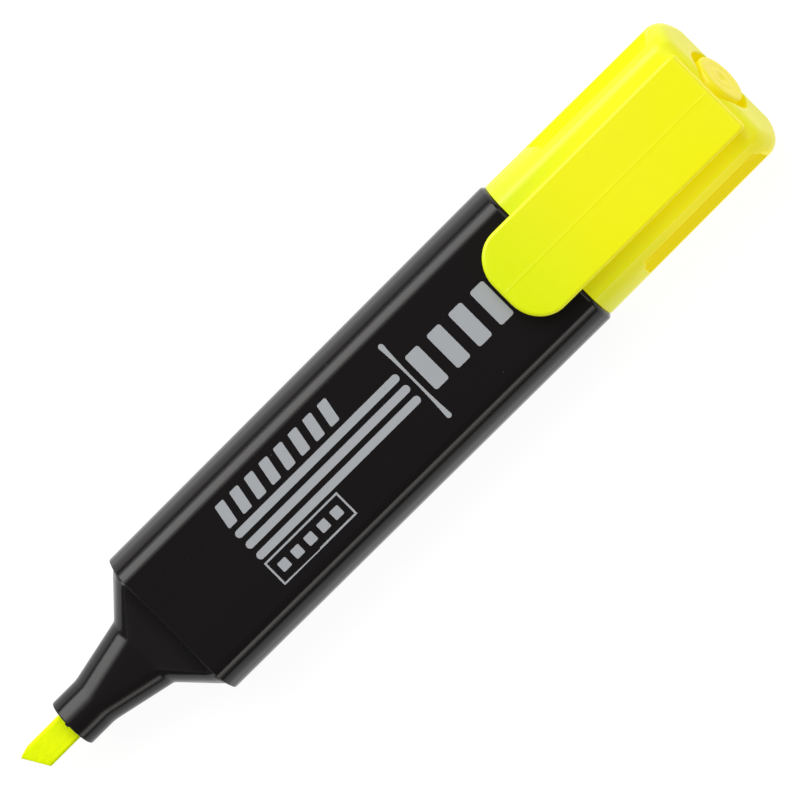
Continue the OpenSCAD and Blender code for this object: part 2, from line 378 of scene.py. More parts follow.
def black_plastic(name, roughness, tint):
    """Gloss black moulded plastic: soft flow marks, fine handling scratches and a few dust specks."""
    mat, shader = principled(name, IOR=1.38)
    dust_colour = (0.12, 0.11, 0.11)
    flow = noise(mat, 60, 2, (0.25, 1, 1))
    rough = cloudy(mat, flow, grey(roughness * 0.85), grey(roughness * 1.2))
    join(mat, rough, "Color", shader, "Roughness")
    dust = noise(mat, 2600, 1)
    specks = ramp(mat, dust, "Fac", 0.81, 0.87, (tint, dust_colour))
    join(mat, specks, "Color", shader, "Base Color")
    scratches = noise(mat, 900, 2, (0.03, 1, 1))
    scratch_lines = ramp(mat, scratches, "Fac", 0.62, 0.72, (grey(0), grey(1)))
    skin = noise(mat, 420, 2)
    bump_chain(mat, shader, [(flow, "Fac", 0.25, 0.06), (skin, "Fac", 0.12, 0.02),
                             (scratch_lines, "Color", 0.08, 0.01)])
    return mat


def fluorescent_plastic(name, base, glow, gloss=0.5):
    """Fluorescent yellow moulded plastic. glow is one colour, or a list of stops for glow_along. The glow is an
    emission that partly stands for the plastic's fluorescence and partly is painted light that lifts and warms its
    shaded sides.
    """
    roughness = 0.36
    mat, shader = principled(name, IOR=1.42, Subsurface_Weight=0.2, Subsurface_Scale=0.0008,
                             Emission_Strength=1.0, Specular_IOR_Level=gloss)
    shader.inputs["Subsurface Radius"].default_value = (1.0, 0.8, 0.05)
    # Emission colour: painted light that fills and warms the shade.
    if isinstance(glow, tuple):
        shader.inputs["Emission Color"].default_value = (*glow, 1)
    else:
        join(mat, glow_along(mat, glow), "Color", shader, "Emission Color")
    cloud = noise(mat, 90, 3)
    colour = cloudy(mat, cloud, base, (base[0] * 0.97, base[1] * 0.985, base[2]))
    join(mat, colour, "Color", shader, "Base Color")
    rough = cloudy(mat, cloud, grey(roughness * 0.9), grey(roughness * 1.15))
    join(mat, rough, "Color", shader, "Roughness")
    skin = noise(mat, 1500, 2)
    wave = noise(mat, 70, 1)
    bump_chain(mat, shader, [(wave, "Fac", 0.2, 0.05), (skin, "Fac", 0.15, 0.012)])
    return mat


def glow_along(mat, stops):
    """Colour ramp along the pen, for painted light that is brighter or dimmer along it; each stop is x in
    millimetres, in the axis frame, and a colour.
    """
    coords = node(mat, "ShaderNodeTexCoord")
    split = node(mat, "ShaderNodeSeparateXYZ")
    join(mat, coords, "Object", split, "Vector")
    (near, near_colour), (far, far_colour) = stops[:2]
    light = ramp(mat, split, "X", place((near, 0, 0)).x, place((far, 0, 0)).x, (near_colour, far_colour))
    for x, colour in stops[2:]:
        light.color_ramp.elements.new(place((x, 0, 0)).x).color = (*colour, 1)
    return light


def nib_fibre():
    """Pressed fibre soaked in ink: fine strands along the nib, matte and slightly wet, with a faint painted glow
    from its emission.
    """
    mat, shader = principled("nib_fibre", IOR=1.4, Subsurface_Weight=0.3, Subsurface_Scale=0.0008,
                             Emission_Color=(0.6, 1.0, 0.0, 1), Emission_Strength=0.06, Roughness=0.6,
                             Specular_IOR_Level=0.15)
    shader.inputs["Subsurface Radius"].default_value = (0.8, 1.0, 0.05)
    strands = noise(mat, 3200, 3, (0.12, 1, 1))
    colour = cloudy(mat, strands, (0.64, 0.77, 0.0), (0.73, 0.83, 0.0))
    join(mat, colour, "Color", shader, "Base Color")
    pores = noise(mat, 5200, 2)
    bump_chain(mat, shader, [(strands, "Fac", 0.5, 0.05), (pores, "Fac", 0.4, 0.03)])
    return mat


def print_ink():
    """Silver-grey pad print, a little worn where it has been handled."""
    mat, shader = principled("print_ink", Roughness=0.5, IOR=1.45)
    wear = noise(mat, 700, 4)
    colour = ramp(mat, wear, "Fac", 0.2, 0.3, ((0.24, 0.25, 0.265), (0.31, 0.325, 0.345)))
    join(mat, colour, "Color", shader, "Base Color")
    return mat


def ink_bundle():
    """Fibre bundle of the reservoir, soaked in ink."""
    mat, shader = principled("ink_bundle", Roughness=0.8)
    strands = noise(mat, 2400, 3, (0.04, 1, 1))
    colour = cloudy(mat, strands, (0.5, 0.8, 0.01), (0.8, 0.98, 0.03))
    join(mat, colour, "Color", shader, "Base Color")
    bump_chain(mat, shader, [(strands, "Fac", 0.6, 0.1)])
    return mat


def clear_film():
    """Thin milky film round the reservoir."""
    mat, shader = principled("clear_film", IOR=1.49, Transmission_Weight=0.6)
    haze = noise(mat, 150, 2)
    colour = cloudy(mat, haze, grey(0.75), grey(0.88))
    join(mat, colour, "Color", shader, "Base Color")
    rough = cloudy(mat, haze, grey(0.2), grey(0.35))
    join(mat, rough, "Color", shader, "Roughness")
    return mat


# ---------------------------------------------------------------- barrel side

def barrel():
    """Drafted tube: eased front rim, bevelled rear rim, walls down to the cavity."""
    ease, bevel, bevel_depth, crisp, steps = 0.15, 0.45, 0.35, 0.12, 12
    outer = []
    for fall, rise in quarter_turn(3):
        outer.append(ring_at(ease * rise, pen_section(BARREL_FRONT_W, ease * fall)))
    for k in range(1, steps + 1):
        t = k / steps
        width = BARREL_FRONT_W + (BARREL_REAR_W - BARREL_FRONT_W) * t
        outer.append(ring_at(ease + (BARREL_LEN - bevel - crisp - ease) * t, pen_section(width)))
    rear_rim = ((bevel - 0.05, 0.03), (0.1, bevel_depth - 0.05), (0.0, bevel_depth + 0.05))
    for from_end, inset in rear_rim:
        outer.append(ring_at(BARREL_LEN - from_end, pen_section(BARREL_REAR_W, inset)))
    cavity = pen_section(BARREL_FRONT_W, BARREL_WALL)
    inner = [ring_at(BARREL_LEN, cavity), ring_at(BARREL_LEN / 2, cavity), ring_at(0, cavity)]
    verts, faces = loft(outer + inner, closed=True)
    return make("barrel_tube", verts, faces)


def shoulder_rings(big, small, lip):
    """Rings from the lip down the shoulder, with a crisp edge at its start."""
    steps, edge_run, edge_inset, last_share = 7, 0.04, 0.1, 0.97
    start, end = ring_at(-lip, big), ring_at(-SHOULDER_LEN, small)
    shares = [k / steps for k in range(1, steps)] + [last_share]
    return [ring_at(-lip - edge_run, set_in(big, edge_inset))] + [mix_rings(start, end, t) for t in shares]


def flare_rings(small, round_form):
    """Rings from the shoulder's foot to the start of the neck, which they meet in a soft curve."""
    steps, neck_start, soft, foot_run = 24, NECK_LEN - NOSE_LEN, 0.06, 0.12
    foot, end = ring_at(0, small), ring_at(0, round_form)
    rings = []
    for k in range(steps + 1):
        t = k / steps
        rise = 1 - t
        grown = rise ** 2 / (4 * soft) if rise < 2 * soft else rise - soft
        x = -SHOULDER_LEN + (neck_start + SHOULDER_LEN) * t
        rings.append([Vector((x, p.y, p.z)) for p in mix_rings(end, foot, grown / (1 - soft))])
    rings[0] = [Vector((p.x - foot_run, p.y, p.z)) for p in rings[0]]
    return rings


def neck_rings(round_form):
    """Rings along the neck to its eased rim, which carries a small burr, and down the nib's hole."""
    ease, neck_start = 0.25, NECK_LEN - NOSE_LEN
    burr_y, burr_angle, burr_len = 0.35, radians(5), 0.2
    hole_w, hole_t, hole_depth = 0.6, 0.52, 2
    rings = [ring_at(neck_start - x, round_form) for x in (0.12, 0.3, 2.5, NECK_LEN - ease)]
    for fall, rise in quarter_turn(4, 1):
        scale = (NECK_R - ease * rise) / NECK_R
        rings.append(ring_at(-NOSE_LEN + ease * fall, [p * scale for p in round_form]))
    for ring in rings[-2:]:
        for p in ring:
            if p.z > 0 and abs(atan2(p.y - burr_y, p.z)) < burr_angle:
                p.x -= burr_len
    hole = [Vector((p.x * hole_w, p.y * hole_t)) for p in round_form]
    return rings + [ring_at(-NOSE_LEN, hole), ring_at(-NOSE_LEN + hole_depth, hole)]


def nose():
    """Nose section from the plug inside the barrel to the neck's rim and down its hole."""
    lip, fit_end = 0.5, 0.4
    plug = pen_section(BARREL_FRONT_W, BARREL_WALL + PUSH_GAP)
    round_form = circle_like(plug, NECK_R)
    small = flare_section(circle_like(plug, FLARE_R))
    rings = [ring_at(x, plug) for x in (NOSE_IN, fit_end, 0.0, -lip + 0.06)]
    rings += shoulder_rings(plug, small, lip) + flare_rings(small, round_form) + neck_rings(round_form)
    verts, faces = loft(rings, caps=(True, True))
    return make("nose_cone", verts, faces)


def nib_tip_x(y):
    """Where the nib ends at y: small chamfer beside the long point, then the slanted chisel edge."""
    chamfer_depth, chamfer_len, slant = 0.5, 1.8, 2.3
    edge = NIB_SIDE - chamfer_depth
    if y > edge:
        return NIB_TIP + chamfer_len * (y - edge) / chamfer_depth
    return NIB_TIP + slant * (edge - y) / (NIB_SIDE + edge)


def corner_arcs(corners, r):
    """One arc of radius r for each of four corners."""
    return [rounded_corner(corners[i - 1], b, corners[(i + 1) % 4], r, 4) for i, b in enumerate(corners)]


def rounded_rectangle(w, t, r, along, across):
    """Rounded rectangle with extra points along and across its sides."""
    signs = ((1, 1), (-1, 1), (-1, -1), (1, -1))
    arcs = corner_arcs([Vector((sx * w / 2, sy * t / 2)) for sx, sy in signs], r)
    points = []
    for i, arc in enumerate(arcs):
        points += arc + between(arc[-1], arcs[(i + 1) % 4][0], along if i % 2 == 0 else across)
    return points


def nib_height(x):
    """Share of the nib's thickness that is left at x, where its broad faces thin towards the edge."""
    taper_len, hollow = 4.2, 0.15
    share = clamp((NIB_TIP + taper_len - x) / taper_len)
    thin = smooth_step(share * 0.55)
    return 1 - share * (1 - NIB_EDGE_T / NIB_T) * (1 - hollow + hollow * thin)


def nib_edge_rings(last, end_ease):
    """Rings that ease the nib's end over and close it along the middle line of its edge."""
    rings = []
    for fall, rise in quarter_turn(3, 1):
        inset = end_ease * rise
        scale_y, scale_z = 1 - inset / NIB_SIDE, 1 - inset / (NIB_EDGE_T / 2)
        rings.append([Vector((p.x - end_ease * (1 - fall), p.y * scale_y, p.z * scale_z)) for p in last])
    edge, steps = rings[-1], 4
    for k in range(1, steps + 1):
        narrow, flat = 1 - 0.05 * k, 1 - k / steps
        ring = []
        for p in edge:
            shift = nib_tip_x(p.y * narrow) - nib_tip_x(p.y)
            ring.append(Vector((p.x + shift, p.y * narrow, p.z * flat)))
        rings.append(ring)
    return rings


def nib():
    """Chisel nib: a rounded bar whose broad faces thin towards the slanted edge."""
    back, end_ease, steps = 6.0, 0.22, 40
    section = rounded_rectangle(2 * NIB_SIDE, NIB_T, 0.45, 22, 8)
    rings = []
    for k in range(steps + 1):
        ring = []
        for p in section:
            x = back + (nib_tip_x(p.x) + end_ease - back) * k / steps
            ring.append(Vector((x, p.x, p.y * nib_height(x))))
        rings.append(ring)
    verts, faces = loft(rings + nib_edge_rings(rings[-1], end_ease), caps=(True, False))
    return make("chisel_nib", verts, faces, 50)


def rear_plug():
    """Plug in the barrel's rear end with the stub that the cap is posted on."""
    ease, stub_ease, step_run = 0.15, 0.9, 0.2
    stub = cap_inside(CAP_WALL + BODY_GAP)
    plug = match_points(pen_section(BARREL_FRONT_W, BARREL_WALL + PUSH_GAP), len(stub))
    rings = [ring_at(plug_low.x, plug), ring_at(BARREL_LEN - ease, plug)]
    rings += [ring_at(BARREL_LEN, set_in(plug, ease))]
    rings += [ring_at(BARREL_LEN, stub), ring_at(BARREL_LEN + step_run, stub)]
    for fall, rise in quarter_turn(6):
        rings.append(ring_at(STUB_END - stub_ease * fall, set_in(stub, stub_ease * rise)))
    last = rings[-1]
    for t in (0.75, 0.5, 0.25):
        rings.append([Vector((STUB_END, p.y * t, p.z * t)) for p in last])
    verts, faces = loft(rings, caps=(True, True))
    return make("tail_plug", verts, faces)


# ---------------------------------------------------------------- cap

BAND_POINTS = 5
RECESS_POINTS = 24
REST_POINTS = 26
GRIP_START_INSET = 0.12
GRIP_WALL_INSET = 1.9
GRIP_WALL_STEPS = 4
BODY_GAP = 0.15


def polyline_points(line, count):
    """count points evenly along a polyline, ends included."""
    lengths = [0]
    for a, b in zip(line, line[1:]):
        lengths.append(lengths[-1] + (b - a).length)
    points = []
    for k in range(count):
        want = lengths[-1] * k / (count - 1)
        i = max(j for j in range(len(line) - 1) if lengths[j] <= want + 1e-9)
        span = lengths[i + 1] - lengths[i]
        points.append(line[i].lerp(line[i + 1], (want - lengths[i]) / span if span else 0))
    return points


def cut_line(line, y):
    """Parts of a line before and after it passes y, both with the crossing point."""
    for i, (a, b) in enumerate(zip(line, line[1:])):
        if a.x >= y > b.x:
            cross = a.lerp(b, (a.x - y) / (a.x - b.x))
            return line[:i + 1] + [cross], [cross] + line[i + 1:]


def recess_line(start, wall_top):
    """The grip recess in section: a floor from the side up to a steep wall, with eased corners."""
    depth, ease, wall_lean, lip_share = 0.5, 0.18, 0.06, 0.15
    foot = Vector((wall_top.x + wall_lean, wall_top.y - depth))
    foot_arc = rounded_corner(start, foot, wall_top, ease, 5)
    lip = wall_top.lerp(foot, lip_share)
    return polyline_points([start] + foot_arc + [lip, wall_top], RECESS_POINTS)


def cap_quarter(w, recess, radii):
    """Quarter outline of the cap, with the grip recess cut back by its share recess."""
    line = quarter_line(w, CAP_T, CAP_FACE_INSET, radii)
    side, rest = cut_line(line, w / 2 - GRIP_WALL_INSET)
    band, side = cut_line(side, w / 2 - GRIP_START_INSET)
    plain = polyline_points(side, RECESS_POINTS)
    cut = recess_line(side[0], side[-1])
    mixed = [a.lerp(b, recess) for a, b in zip(plain, cut)]
    return polyline_points(band, BAND_POINTS)[:-1] + mixed + polyline_points(rest, REST_POINTS)[1:]


def cap_outline(w, recess=0.0, radii=CAP_RADII):
    """Closed outline of the cap, starting at the middle of its +y side."""
    return mirrored(cap_quarter(w, recess, radii))


def cap_inside(depth):
    """Outline set in from the cap's mouth by depth, from softer corners so that it doesn't fold."""
    return set_in(cap_outline(CAP_MOUTH_W, 0.0, SECTION_RADII), depth)


def match_points(outline, count):
    """The same outline with another number of points, spread evenly along it."""
    closed = outline + [outline[0]]
    return polyline_points(closed, count + 1)[:-1]


def quarter_shift(sharp_entry):
    """For each point of a quarter, how far the recess's two ends stand in from their places at the side."""
    entry_run, exit_r, corner_r, face_pull, lean = 1.5, 1.5, 0.45, 1.4, 0.25
    floor_share, corner_share = 0.7, 0.25
    shifts = []
    for i in range(BAND_POINTS - 1 + RECESS_POINTS + REST_POINTS - 1):
        along = (i - BAND_POINTS + 1) / (RECESS_POINTS - 1)
        t = clamp(along / floor_share)
        wall = lean * clamp((along - floor_share) / (1 - floor_share))
        along_face = max(0, (i - BAND_POINTS + 2 - RECESS_POINTS) / (REST_POINTS - 1))
        corner = corner_r * circle_drop(max(0, (t - 1 + corner_share) / corner_share))
        entry = (corner if sharp_entry else entry_run * t) + wall
        shifts.append((entry, exit_r * circle_drop(t) + wall + face_pull * smooth_step(along_face * 3)))
    return shifts


def recess_shift():
    """Shifts of the recess's ends for every outline point; the +y entry is slanted, the -y one square."""
    plus, minus = quarter_shift(False), quarter_shift(True)
    half = plus + list(reversed(minus[:-1]))
    return half + list(reversed(half[1:-1]))


def end_height(outline):
    """Function of (y, z): x of the closed end's surface, sloped and rounded over at the outline."""
    row_z = CAP_T / 2 - END_R
    n = len(outline)

    def distance(p):
        best = 1e9
        for i in range(n):
            a, b = outline[i], outline[(i + 1) % n]
            ab = b - a
            squared = ab.length_squared
            t = clamp((p - a).dot(ab) / squared) if squared else 0
            best = min(best, (a + ab * t - p).length)
        return best

    def height(p):
        d = min(END_R, distance(p))
        drop = END_R - sqrt(END_R ** 2 - (END_R - d) ** 2)
        return CAP_END - (p.y + row_z) * END_SLOPE - drop

    return height


def cap_width(x):
    """Width of the cap at x."""
    return CAP_MOUTH_W + (CAP_END_W - CAP_MOUTH_W) * (x - CAP_MOUTH) / (CAP_END - CAP_MOUTH)


def grip_rings():
    """Rings along the side recesses; each end's ring follows the recess's own outline."""
    start, end, wall_run, shifts = CAP_MOUTH + 8.1, CAP_MOUTH + 32.3, 0.3, recess_shift()
    floor_steps = 8

    def ring(x, recess, which, sign):
        section = cap_outline(cap_width(x), recess)
        return [Vector((x + sign * shifts[i][which], p.x, p.y)) for i, p in enumerate(section)]

    def wall_rings(x, rise, which, sign):
        made = []
        for k in range(-GRIP_WALL_STEPS, GRIP_WALL_STEPS + 1):
            recess = smooth_step((GRIP_WALL_STEPS + rise * k) / (2 * GRIP_WALL_STEPS))
            made.append(ring(x + wall_run * k / (2 * GRIP_WALL_STEPS), recess, which, sign))
        return made

    rings = wall_rings(start, 1, 0, 1)
    for k in range(1, floor_steps):
        t = k / floor_steps
        x = start + (end - start) * t
        rings.append(mix_rings(ring(x, 1, 0, 1), ring(x, 1, 1, -1), t))
    return rings + wall_rings(end, -1, 1, -1)


def end_rings(outline, circle):
    """Rings over the rounded closed end to the edge of the vent opening."""
    vent_ease, side_run = 0.2, 0.05
    height = end_height(outline)
    goals = [c * ((VENT_R + vent_ease) / VENT_R) for c in circle]

    def on_end(points):
        return [Vector((height(q), q.x, q.y)) for q in points]

    rings = [[Vector((height(p) - side_run, p.x, p.y)) for p in outline]]
    for _, share in quarter_turn(12, 1):
        points = []
        for p, goal in zip(outline, goals):
            total = (goal - p).length
            points.append(p.lerp(goal, min(END_R, total) * share / total))
        rings.append(on_end(points))
    flat = [Vector((p.y, p.z)) for p in rings[-1]]
    for t in (0.2, 0.4, 0.6, 0.8, 1.0):
        rings.append(on_end([p.lerp(goal, t) for p, goal in zip(flat, goals)]))
    edge = rings[-1]
    for fall, rise in quarter_turn(4, 1):
        scale, drop = (VENT_R + vent_ease * fall) / VENT_R, vent_ease * rise
        rings.append([Vector((p.x - drop, c.x * scale, c.y * scale)) for p, c in zip(edge, circle)])
    return rings


def cap_shell():
    """Cap: eased mouth, grip recesses, rounded sloping end with the round vent, hollow inside."""
    ease = 0.15
    mouth = cap_outline(CAP_MOUTH_W)
    rings = [ring_at(CAP_MOUTH + ease * rise, set_in(mouth, ease * fall)) for fall, rise in quarter_turn(2)]
    rings += [ring_at(x, cap_outline(cap_width(x))) for x in (CAP_MOUTH + 3, CAP_MOUTH + 6.5)]
    grip_start = len(rings)
    rings += grip_rings()
    grip_end = len(rings)
    outline = cap_outline(CAP_END_W)
    circle = circle_like(outline, VENT_R)
    rings += end_rings(outline, circle)
    deep = deep_faces(len(outline), grip_start, grip_end, len(rings))
    hollow = cap_inside(CAP_WALL)
    rings.append([Vector((HOLLOW_END, c.x, c.y)) for c in circle])
    rings += [ring_at(x, hollow) for x in (HOLLOW_END, (HOLLOW_END + CAP_MOUTH) / 2, CAP_MOUTH + ease)]
    rings.append(ring_at(CAP_MOUTH, cap_inside(CAP_WALL - ease)))
    verts, faces = loft(rings, closed=True)
    return make("cap_body", verts, faces, deep=deep)


def deep_faces(n, grip_start, grip_end, vent_ring):
    """Numbers of the cap's faces on the recesses' floors and side walls, and on the vent's wall."""
    first, last = grip_start + GRIP_WALL_STEPS, grip_end - 1 - GRIP_WALL_STEPS
    deep = [j * n + e for j in range(first, last) for e in recess_edges(n)]
    return deep + list(range((vent_ring - 1) * n, vent_ring * n))


def recess_edges(n):
    """Places in the cap's outline of n points that lie on the floors and walls of its recesses."""
    half, first = n // 2, BAND_POINTS - 1
    edges = []
    for e in range(first, first + RECESS_POINTS - 2):
        edges += [e, half - 1 - e, half + e, n - 1 - e]
    return edges


def turned(profile):
    """Rings turned round the pen's axis, from (x, radius, share of the boss's slope)."""
    steps = 96
    rings = []
    for x, r, slope in profile:
        ring = []
        for k in range(steps):
            a = 2 * pi * k / steps
            z = r * sin(a)
            ring.append(Vector((x - slope * z * BOSS_SLOPE, r * cos(a), z)))
        rings.append(ring)
    return rings


def sleeve_profile(mouth_r):
    """Outside of the sleeve from its mouth to the boss, with the fine ring and gate mark on its end."""
    bevel, boss_ease, groove, groove_r, groove_w = 0.15, 0.35, 0.03, 2.4, 0.35
    gate_r, gate_pit, knob_r = 0.62, 0.16, 0.35
    top = BOSS_TIP - BOSS_R * BOSS_SLOPE
    profile = [(SLEEVE_MOUTH, mouth_r, 0), (SLEEVE_MOUTH, SLEEVE_R - bevel, 0)]
    profile += [(SLEEVE_MOUTH + bevel, SLEEVE_R, 0), (HOLLOW_END - 6, SLEEVE_R, 0)]
    profile += [(HOLLOW_END - bevel, SLEEVE_R, 0), (HOLLOW_END, SLEEVE_R - bevel, 0)]
    profile += [(HOLLOW_END, BOSS_R, 0), (HOLLOW_END + 1, BOSS_R, 0.2)]
    profile += [(top - boss_ease * fall, BOSS_R - boss_ease * rise, 1) for fall, rise in quarter_turn(5)]
    profile += [(top, groove_r, 1), (top - groove, groove_r - 0.1, 1)]
    profile += [(top - groove, groove_r - groove_w + 0.1, 1), (top, groove_r - groove_w, 1)]
    profile += [(top, gate_r + 0.25, 1), (top - gate_pit * 0.8, gate_r, 1), (top - gate_pit, knob_r, 1)]
    return profile + [(top - gate_pit + 0.12, 0.2, 1), (top - gate_pit + 0.14, 0.02, 1)]


def inner_cap():
    """Sealing sleeve whose closed end is the boss in the vent, with the bore that seals on the neck."""
    bore_r, lead_in = NECK_R + 0.05, 0.2
    verts, faces = loft(turned(sleeve_profile(bore_r + lead_in)), caps=(False, True))
    bore = ((SLEEVE_MOUTH, bore_r + lead_in, 0), (SLEEVE_MOUTH + lead_in, bore_r, 0),
            (HOLLOW_END - 1, bore_r, 0))
    bore_verts, bore_faces = loft(turned(bore), caps=(False, True))
    shift = len(verts)
    verts += bore_verts
    faces += [tuple(i + shift for i in f) for f in bore_faces]
    return make("sealing_sleeve", verts, faces)


def fins():
    """The two side fins that hold the sleeve in the cap."""
    fin_t, corner_r, bevel, fin_len = 1.0, 0.2, 0.15, 7.5
    near, far = SLEEVE_R - 0.2, sleeve_high.y
    half = (far - near) / 2
    section = rounded_rectangle(2 * half, fin_t, corner_r, 2, 0)
    made = []
    for side, name in ((1, "fin_plus"), (-1, "fin_minus")):
        centre = side * (near + far) / 2
        rings = []
        for x, ease in ((HOLLOW_END - fin_len, bevel), (HOLLOW_END - fin_len + bevel, 0), (HOLLOW_END, 0)):
            rings.append([Vector((x, centre + p.x * (1 - ease / half), p.y * (1 - ease))) for p in section])
        verts, faces = loft(rings, caps=(True, True))
        made.append(make(name, verts, faces))
    return made


# ---------------------------------------------------------------- clip

CLIP_ACROSS = (1.0, 0.75, 0.5, 0.25, 0.05, 0.02, 0.0)


def clip_half_plan(tip, root, half_w):
    """Half of the clip's plan from the middle of the tip to the middle of the root, in +y."""
    flat, tip_len, root_r = 1.7, 5.2, 0.7
    tip_steps, side_steps, root_steps = 21, 20, 6
    side_start, side_end = tip + tip_len, root - root_r
    points = [Vector((tip, flat * share)) for share in reversed(CLIP_ACROSS)]
    for fall, rise in quarter_turn(tip_steps, 1):
        points.append(Vector((tip + tip_len * rise, flat + (half_w - flat) * (1 - fall))))
    for k in range(1, side_steps):
        points.append(Vector((side_start + (side_end - side_start) * k / side_steps, half_w)))
    for fall, rise in quarter_turn(root_steps):
        points.append(Vector((side_end + root_r * (1 - fall), half_w - root_r * rise)))
    return points + [Vector((root, (half_w - root_r) * share)) for share in CLIP_ACROSS[1:]]


def even_flats(ring, half_count):
    """Spreads a ring's points on the straight tip and root edges as the rows across the clip need them."""
    n = len(ring)
    for end, step in ((len(CLIP_ACROSS) - 1, -1), (half_count - len(CLIP_ACROSS), 1)):
        a, b = ring[end], ring[n - end]
        for j, share in enumerate(CLIP_ACROSS):
            i = end + step * j
            ring[i] = a.lerp(b, (1 - share) / 2)
            if share:
                ring[n - i] = a.lerp(b, (1 + share) / 2)


def clip_rows(ring, half_count, ridge):
    """Rows of points across the clip's face inside a ring, raised by ridge on the middle line."""
    n, last = len(ring), len(CLIP_ACROSS) - 1
    shares = list(CLIP_ACROSS) + [-share for share in reversed(CLIP_ACROSS[:-1])]
    rows = [[ring[last - j] for j in range(last + 1)] + [ring[n - j] for j in range(1, last + 1)]]
    for i in range(last + 1, half_count - last - 1):
        a, b = ring[i], ring[n - i]
        row = [a.lerp(b, (1 - share) / 2) for share in shares]
        row[last].z += ridge
        rows.append(row)
    far = half_count - 1
    root_row = [ring[far - last + j] for j in range(last + 1)]
    return rows + [root_row + [ring[n - far + j] for j in range(1, last + 1)]]


def outward_normals(plan, centre):
    """Normals of a closed plan, pointing away from its centre."""
    n = len(plan)
    normals = []
    for i, p in enumerate(plan):
        side = plan[(i + 1) % n] - plan[i - 1]
        normal = Vector((side.y, -side.x)).normalized()
        normals.append(normal if normal.dot(p - centre) > 0 else -normal)
    return normals


def clip_rings(plan, normals, top):
    """Rings up the clip's edge: eased foot, upright side, rounded upper edge that sags over the root."""
    tip, root = clip_low.x, clip_high.x
    under, foot_z = CLIP_TOP - CLIP_T, CAP_T / 2 - 0.3
    foot_x, foot_run, foot_ease = FLEX_X - 1.5, 1.4, 0.2
    sag_len, sag_depth = 2.0, 0.75
    tip_ease_len, edge_r, tip_extra_r = 4, 0.5, 0.15

    def sag(x):
        return sag_depth * circle_drop(clamp((x - (root - sag_len)) / sag_len))

    def bottom(x):
        return under + (foot_z - under) * circle_drop(clamp((x - foot_x) / foot_run))

    rings = []
    for inset, rise in ((foot_ease, 0), (0.0, foot_ease)):
        ring = [q - w * inset for q, w in zip(plan, normals)]
        rings.append([Vector((p.x, p.y, bottom(q.x) + rise)) for p, q in zip(ring, plan)])
    for fall, inward in quarter_turn(7):
        ring = []
        for q, w in zip(plan, normals):
            r = edge_r + tip_extra_r * smooth_step((tip + tip_ease_len - q.x) / tip_ease_len)
            p = q - w * (r * inward)
            ring.append(Vector((p.x, p.y, top - r * fall - sag(p.x))))
        rings.append(ring)
    return rings


def grid_faces(start, rows, cols):
    """Quads of a grid of points that are numbered row by row from start."""
    faces = []
    for r in range(rows - 1):
        for c in range(cols - 1):
            k = start + r * cols + c
            faces.append((k, k + 1, k + cols + 1, k + cols))
    return faces


def clip():
    """Wide clip: rounded edges, fine parting line along its middle, foot that stands on the cap."""
    ridge_h, seam_run = 0.035, 0.1
    half = clip_half_plan(clip_low.x, clip_high.x, clip_high.y)
    plan = half + [Vector((p.x, -p.y)) for p in reversed(half[1:-1])]
    centre = Vector(((clip_low.x + clip_high.x) / 2, 0))
    rings = clip_rings(plan, outward_normals(plan, centre), CLIP_TOP - ridge_h)
    for ring in rings:
        even_flats(ring, len(half))
    for ring in rings[1:]:
        ring[0].x -= seam_run
    verts, faces = loft(rings)
    for ring, ridge in ((rings[0], 0), (rings[-1], ridge_h)):
        rows = clip_rows(ring, len(half), ridge)
        faces += grid_faces(len(verts), len(rows), len(rows[0]))
        verts += [p for row in rows for p in row]
    return make("wide_clip", verts, faces)


# ---------------------------------------------------------------- print on the barrel

def bar(x0, x1, y0, y1, slant=0.0, r=0.25):
    """Printed bar with rounded corners; slant shifts its +y side along the pen."""
    corners = [Vector((x0, y0)), Vector((x1, y0)), Vector((x1 + slant, y1)), Vector((x0 + slant, y1))]
    return [p for arc in corner_arcs(corners, r) for p in arc]


def tapered_line(x, y0, y1, end_w, waist_w):
    """Divider line, wide and rounded at its ends and narrow in the middle."""
    steps, arc_steps, end_r = 12, 6, end_w / 2
    right, left = [], []
    for k in range(steps + 1):
        t = k / steps
        w = waist_w + (end_w - waist_w) * (2 * t - 1) ** 2
        y = y0 + (y1 - y0) * t
        right.append((x + w / 2, y))
        left.append((x - w / 2, y))
    arc = [(end_r * cos(pi * k / arc_steps), end_r * sin(pi * k / arc_steps)) for k in range(1, arc_steps)]
    top = [(x + u, y1 + v) for u, v in arc]
    foot = [(x - u, y0 - v) for u, v in arc]
    return right + top + list(reversed(left)) + foot


def bar_row(count, x, step, w, y0, y1, slant=0.0, r=0.25):
    """Row of equal printed bars along the pen."""
    return [bar(x + k * step, x + k * step + w, y0, y1, slant, r) for k in range(count)]


def printed_frame(x0, x1, y0, y1, line):
    """Outline of a printed rectangle, as four bars."""
    sides = ((x0, x1, y0, y0 + line), (x0, x1, y1 - line, y1),
             (x0, x0 + line, y0 + line, y1 - line), (x1 - line, x1, y0 + line, y1 - line))
    return [bar(*side, r=0.05) for side in sides]


